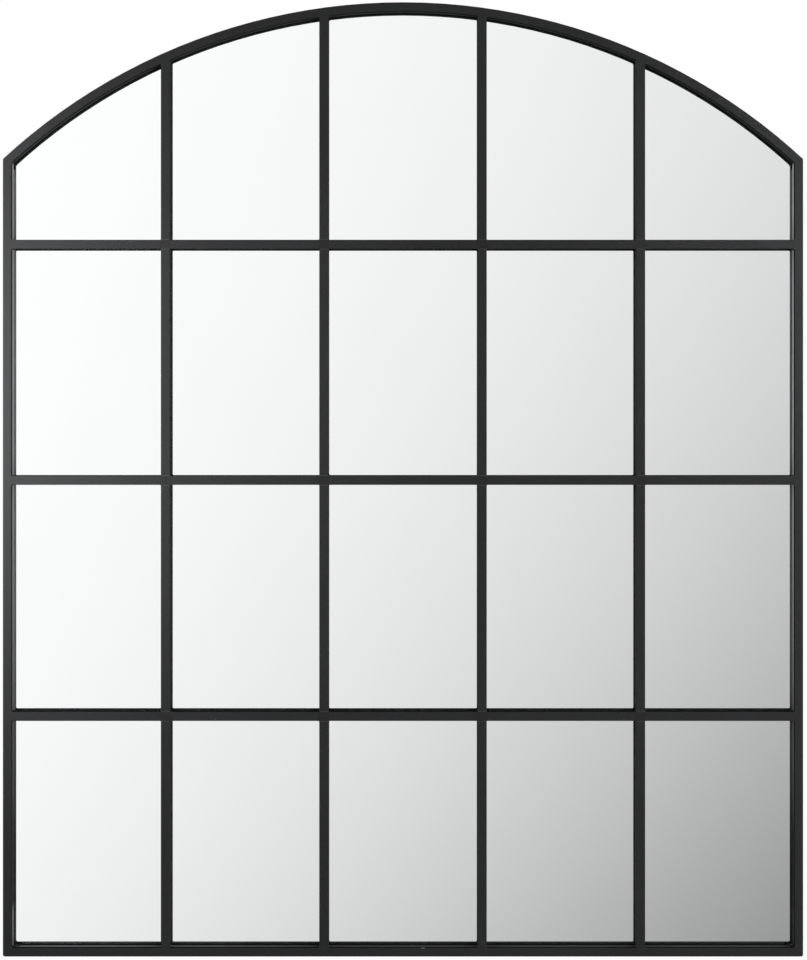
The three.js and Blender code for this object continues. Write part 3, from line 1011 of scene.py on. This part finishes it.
def makeBeads():
    t = Tree("weldBead")
    t.wanted("Ripple", "NodeSocketFloat", bead["ripple"])
    t.wanted("Width", "NodeSocketFloat", bead["width"])
    given = t.begin()
    line = t.node("GeometryNodeMeshToCurve", i0=given["Geometry"])
    points = t.node(
        "GeometryNodeCurveToPoints", {"mode": "LENGTH"}, Curve=line.outputs[0], Length=given["Ripple"]
    )
    lump = t.node("GeometryNodeMeshIcoSphere", Radius=0.5, Subdivisions=3)
    flat = t.node("GeometryNodeTransform", Geometry=lump.outputs[0], Scale=(1.0, 1.0, bead["flatness"]))
    least, most = bead["sizes"]
    spread = t.node(
        "FunctionNodeRandomValue", {"data_type": "FLOAT"}, i2=least, i3=most, Seed=bead["sizeSeed"]
    )
    size = t.node("ShaderNodeMath", {"operation": "MULTIPLY"}, i0=spread.outputs[1], i1=given["Width"])
    turned = t.node(
        "FunctionNodeRandomValue",
        {"data_type": "FLOAT_VECTOR"},
        i0=(-bead["turn"],) * 3,
        i1=(bead["turn"],) * 3,
        Seed=bead["turnSeed"],
    )
    turn = t.node("FunctionNodeRotateRotation", i0=points.outputs["Rotation"], i1=turned.outputs[0])
    row = t.node(
        "GeometryNodeInstanceOnPoints",
        Points=points.outputs["Points"],
        Instance=flat.outputs[0],
        Rotation=turn.outputs[0],
        Scale=size.outputs[0],
    )
    t.finish(row.outputs[0], weldPaint)
    objectOf("weldBeads", t.grown("weldBeads", pathMesh(beadPaths())))
    t.set("Width", bead["lump"])
    objectOf("cornerLumps", t.grown("cornerLumps", pathMesh(cornerPaths())))


# Pan-head screws with a cross recess, one through each clip.
screw = {
    "headRadius": 3.4 * mm,
    "headHeight": 2 * mm,
    "brim": 0.12 * mm,  # rounding under the head
    "dome": 0.72,  # share of the head's height that is domed
    "domeFullness": 1.15,
    "domeSteps": 7,
    "shankRadius": 1.75 * mm,
    "root": 0.72,  # thread's root, as a share of the shank's radius
    "length": 6 * mm,
    "unthreaded": 2 * mm,  # at its lower end
    "point": 1.6 * mm,
    "pitch": 1.4 * mm,
    "thread": (0.45, 0.6),  # crest and next root, as shares of the pitch
    "underHead": 0.4 * mm,  # plain shank
    "sides": 48,
    "recessHalf": 1.75 * mm,  # of the cross, from its middle
    "recessWide": 0.42 * mm,
    "recessDeep": 1.35 * mm,
    "bladeFoot": (0.35, 0.7),  # of its length and width, at the bottom of the recess
    "bladeTop": (1.1, 1.0),
    "bladeProud": 0.3 * mm,
    "turnSeed": 11,
}


def latheMesh(name, profile, sides):
    # Turns (radius, y) about Y. The first and last points lie on the axis.
    bm = bmesh.new()
    angles = [2 * math.pi * i / sides for i in range(sides)]
    rings = []
    for radius, y in profile:
        around = angles if radius else (0.0,)
        rings.append([bm.verts.new((radius * math.cos(a), y, radius * math.sin(a))) for a in around])
    for a, b in zip(rings, rings[1:]):
        for i in range(sides):
            j = (i + 1) % sides
            corners = [a[i % len(a)], a[j % len(a)], b[j % len(b)], b[i % len(b)]]
            bm.faces.new(list(dict.fromkeys(corners)))
    return meshOf(bm, name)


def bladeMeshes():
    # The driver's point: two crossed tapered blades, each a mesh of its own.
    long, wide = screw["recessHalf"], screw["recessWide"]
    low = screw["headHeight"] - screw["recessDeep"]
    top = screw["headHeight"] + screw["bladeProud"]
    meshes = []
    for crossed in (False, True):
        loops = []
        for y, (lengthShare, widthShare) in ((low, screw["bladeFoot"]), (top, screw["bladeTop"])):
            x, z = long * lengthShare, wide * widthShare
            ring = [(x, y, z), (-x, y, z), (-x, y, -z), (x, y, -z)]
            loops.append([(c, b, -a) for a, b, c in ring] if crossed else ring)
        bm = bmesh.new()
        loft(bm, loops)
        meshes.append(meshOf(bm, f"blade{int(crossed)}"))
    return meshes


def screwProfile():
    # The head from its crown outwards, then the thread down to the point.
    r, h, s, length = screw["headRadius"], screw["headHeight"], screw["shankRadius"], screw["length"]
    root, pitch, brim = s * screw["root"], screw["pitch"], screw["brim"]
    crest, nextRoot = screw["thread"]
    profile = [(0, h)]
    for i in range(1, screw["domeSteps"] + 1):
        angle = i / screw["domeSteps"] * math.pi / 2
        drop = h * screw["dome"] * (1 - math.cos(angle)) ** screw["domeFullness"]
        profile.append((r * math.sin(angle), h - drop))
    profile += [(r, brim), (r - brim, 0), (s, 0)]
    y = -screw["underHead"]
    while y > -(length - screw["unthreaded"]):
        profile += [(root, y), (s, y - pitch * crest), (root, y - pitch * nextRoot)]
        y -= pitch
    return profile + [(s * 0.7, -(length - screw["point"])), (0, -length)]


def screwMesh():
    body = linked("screwBlank", latheMesh("screwBlank", screwProfile(), screw["sides"]))
    cutters = [linked(blade.name, blade) for blade in bladeMeshes()]
    for cutter in cutters:
        modifier = body.modifiers.new(cutter.name, "BOOLEAN")
        modifier.operation = "DIFFERENCE"
        modifier.solver = "EXACT"
        modifier.object = cutter
    evaluated = body.evaluated_get(bpy.context.evaluated_depsgraph_get())
    mesh = bpy.data.meshes.new_from_object(evaluated)
    for spare in (body, *cutters):
        bpy.data.objects.remove(spare)
    return mesh


def makeClipScrews():
    nodes = [f"clip_screw_{name}" for name in clipNames]
    headY = [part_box(node)[1].y - screw["headHeight"] for node in nodes]
    seed = bpy.data.meshes.new("screwPlaces")
    seed.from_pydata([(middleOf(node, 0), y, middleOf(node, 2)) for node, y in zip(nodes, headY)], [], [])
    pattern = linked("screwPattern", screwMesh())
    t = Tree("clipScrews")
    t.wanted("Pattern", "NodeSocketObject", pattern)
    given = t.begin()
    points = t.node("GeometryNodeMeshToPoints", i0=given["Geometry"])
    shape = t.node("GeometryNodeObjectInfo", i0=given["Pattern"])
    turned = t.node(
        "FunctionNodeRandomValue",
        {"data_type": "FLOAT_VECTOR"},
        i0=(0.0, 0.0, 0.0),
        i1=(0.0, math.tau, 0.0),
        Seed=screw["turnSeed"],
    )
    row = t.node(
        "GeometryNodeInstanceOnPoints",
        Points=points.outputs[0],
        Instance=shape.outputs["Geometry"],
        Rotation=turned.outputs[0],
    )
    t.finish(row.outputs[0], zincScrew)
    piece = objectOf("clipScrews", t.grown("clipScrews", seed))
    bpy.data.objects.remove(pattern)
    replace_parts(piece, *nodes)


tape = {
    "edge": 0.22 * mm,
    "bulge": 0.3 * mm,
    "bulgeShares": (0.4, 0.95),  # least and most of that, from place to place
    "waver": 0.15 * mm,
    "step": 12 * mm,
    "seed": 21,
}


def makeTape(node):
    # A strip of foam pressed between the sheet and the board, its sides bulging a little.
    low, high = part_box(node)
    draw = random.Random(tape["seed"] + int(node[-1]))
    middle, half, e = middleOf(node, 0), (high.x - low.x) / 2, tape["edge"]
    steps = max(2, round((high.z - low.z) / tape["step"]))
    loops = []
    for i in range(steps + 1):
        z = low.z + (high.z - low.z) * i / steps
        reach = half - tape["bulge"] + draw.uniform(-tape["waver"], tape["waver"])
        bulge = tape["bulge"] * draw.uniform(*tape["bulgeShares"])
        loop = []
        for side in (1, -1):
            ring = [
                (middle + side * (reach - e), low.y, z),
                (middle + side * (reach + bulge * 0.6), low.y + e, z),
                (middle + side * (reach + bulge), (low.y + high.y) / 2, z),
                (middle + side * (reach + bulge * 0.6), high.y - e, z),
                (middle + side * (reach - e), high.y, z),
            ]
            loop += ring if side > 0 else ring[::-1]
        loops.append(loop)
    bm = bmesh.new()
    loft(bm, loops)
    name = node.replace("mounting_tape", "foamStrip")
    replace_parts(objectOf(name, meshOf(bm, name), [foamTape]), node)


bumper = {
    "sides": 48,
    "domeSteps": 8,
    # Shares of the radius and of the height.
    "foot": [(1, 0), (1, 0.14), (0.965, 0.22)],
    "shoulder": (0.94, 0.3),
    "flat": 0.65,
    "dished": 0.985,
}


def makeBumper(node):
    # A moulded rubber dome with a dished end, a rounded shoulder and a thin foot.
    low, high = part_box(node)
    radius, tall = (high.x - low.x) / 2, high.y - low.y
    flat, dished = radius * bumper["flat"], tall * bumper["dished"]
    wide, begins = bumper["shoulder"]
    profile = [(0, 0)] + [(radius * out, tall * up) for out, up in bumper["foot"]]
    for i in range(bumper["domeSteps"] + 1):
        angle = math.pi / 2 * i / bumper["domeSteps"]
        out = flat + (radius * wide - flat) * math.cos(angle)
        profile.append((out, tall * (begins + (1 - begins) * math.sin(angle))))
    profile += [(flat * 0.5, dished), (0, dished)]
    mesh = latheMesh(node.replace("bumper", "rubberFoot"), profile, bumper["sides"])
    mesh.transform(Matrix.Translation((middleOf(node, 0), low.y, middleOf(node, 2))))
    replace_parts(objectOf(mesh.name, mesh, [bumperRubber]), node)


makeBeads()
makeClipScrews()
for node in nodesNamed("bumper"):
    makeBumper(node)
for node in nodesNamed("mounting_tape"):
    makeTape(node)
print("beads, screws, tape and bumpers made")


studio = {
    "ambient": 0.66,  # straight from the front or the back
    "sideways": 0.22,  # share of it that comes from the sides, above and below
    "brightest": 1.121,
    # How the studio in front of the mirror darkens to the right and upwards.
    "level": -1.335,
    "across": 4.526,
    "up": -2.501,
    "acrossTwice": -0.571,
    "upTwice": 3.198,
    "acrossUp": -3.143,
    "curvedWithin": 0.3,
    "leastAhead": 0.12,  # keeps the two falls of light finite to the side
    "leastToEye": 0.2,
    "floorSize": 40.0,
    "floorDrop": 0.05 * mm,  # under the foot of the mirror
    "paper": 0.8,
    "washed": (0.96, 1.0),  # share of pure white that the floor shows, near the mirror and far from it
    "washReach": (0.25, 1.4),
}


def wallGlow(s, across, up):
    # Brightness of the studio in the direction (across, up), as the mirror shows it.
    reach = studio["curvedWithin"]
    a = across.most(-reach).least(reach)
    b = up.most(-reach).least(reach)
    k = studio["level"] + across * studio["across"] + up * studio["up"]
    k = k + a * a * studio["acrossTwice"] + b * b * studio["upTwice"] + a * b * studio["acrossUp"]
    return studio["brightest"] / (1.0 + math.e**k)


def rayKinds(s):
    # Rays that see the studio itself, and rays that see it in the mirror.
    rays = s.node("ShaderNodeLightPath")
    seen = s.value(rays, "Is Camera Ray").most(s.value(rays, "Is Transmission Ray"))
    return seen, s.value(rays, "Is Glossy Ray")


def makeWorld():
    world = bpy.data.worlds.new("studio")
    bpy.context.scene.world = world
    s = Shader(world)
    direction = s.value(s.node("ShaderNodeTexCoord"), "Generated")
    x, y, z = s.axes(direction)
    ahead = (-1.0 * y).most(studio["leastAhead"])
    behind = s.ranged(y, -0.1, 0.1)
    glow = wallGlow(s, x / ahead, z / ahead) * (1.0 - behind) + behind
    shared = studio["sideways"] + (1 - studio["sideways"]) * y * y
    seen, mirrored = rayKinds(s)
    ambient, white, wall = (
        s.node("ShaderNodeBackground", Color=grey(1.0), Strength=strength).outputs[0]
        for strength in (studio["ambient"] * shared, 1.0, glow)
    )
    first = s.mixedShader(mirrored, ambient, wall)
    s.finish(s.mixedShader(seen, first, white), "ShaderNodeOutputWorld")


def makeFloor():
    half = studio["floorSize"] / 2
    corners = [(-half, -half, 0), (half, -half, 0), (half, half, 0), (-half, half, 0)]
    mesh = bpy.data.meshes.new("floor")
    mesh.from_pydata(corners, [], [(0, 1, 2, 3)])
    floor = linked("floor", mesh)
    floor.location.z = cadBox[0].z - studio["floorDrop"]
    made, s = material("studioFloor")
    mesh.materials.append(made)
    x, y, _ = s.axes(s.place())
    # Seen in the mirror, the floor glows with the studio's brightness in that direction, light painted on
    # the floor in place of the studio's lit walls.
    mirroredEyeY = 2 * (glassLow.y + sheet["silverDepth"]) - (frontY - camera["distance"])
    toEye = (mirroredEyeY - y).most(studio["leastToEye"])
    glow = wallGlow(s, x / toEye, -camera["eyeHeight"] / toEye)
    away = (x * x + y * y) ** 0.5
    washed = s.ranged(away, *studio["washReach"], *studio["washed"], smooth=True)
    paper = s.node("ShaderNodeBsdfDiffuse", Color=grey(studio["paper"])).outputs[0]
    white, wall = (
        s.node("ShaderNodeEmission", Color=grey(1.0), Strength=strength).outputs[0]
        for strength in (1.0, glow)
    )
    seen, mirrored = rayKinds(s)
    first = s.mixedShader(seen * washed, paper, white)
    s.finish(s.mixedShader(mirrored, first, wall))


lamps = [
    # name, place, aimed at, size, spread in degrees, watts
    ("keyGrid", (-1.35, -1.35, 0.7), (-0.62, 0, 0.64), 0.3, 36, 2.85),
    ("rightGrid", (1.35, -1.35, 0.85), (0.66, 0, 0.8), 0.3, 28, 0.5),
    ("fillSoftbox", (2.2, -2.0, 0.3), (0, 0, 0.4), 1.6, 180, 60),
    ("backSoftbox", (1.2, 3.0, 2.0), (0, 0, 0.5), 2.2, 180, 45),
]


def makeLamps():
    for name, place, target, size, spread, watts in lamps:
        data = bpy.data.lights.new(name, "AREA")
        data.shape = "DISK"
        data.size = size
        data.spread = math.radians(spread)
        data.energy = watts
        lamp = linked(name, data)
        lamp.location = place
        lamp.rotation_euler = (Vector(target) - Vector(place)).to_track_quat("-Z", "Y").to_euler()


makeWorld()
makeFloor()
makeLamps()
bpy.context.scene.view_settings.view_transform = "Standard"
print("studio made")
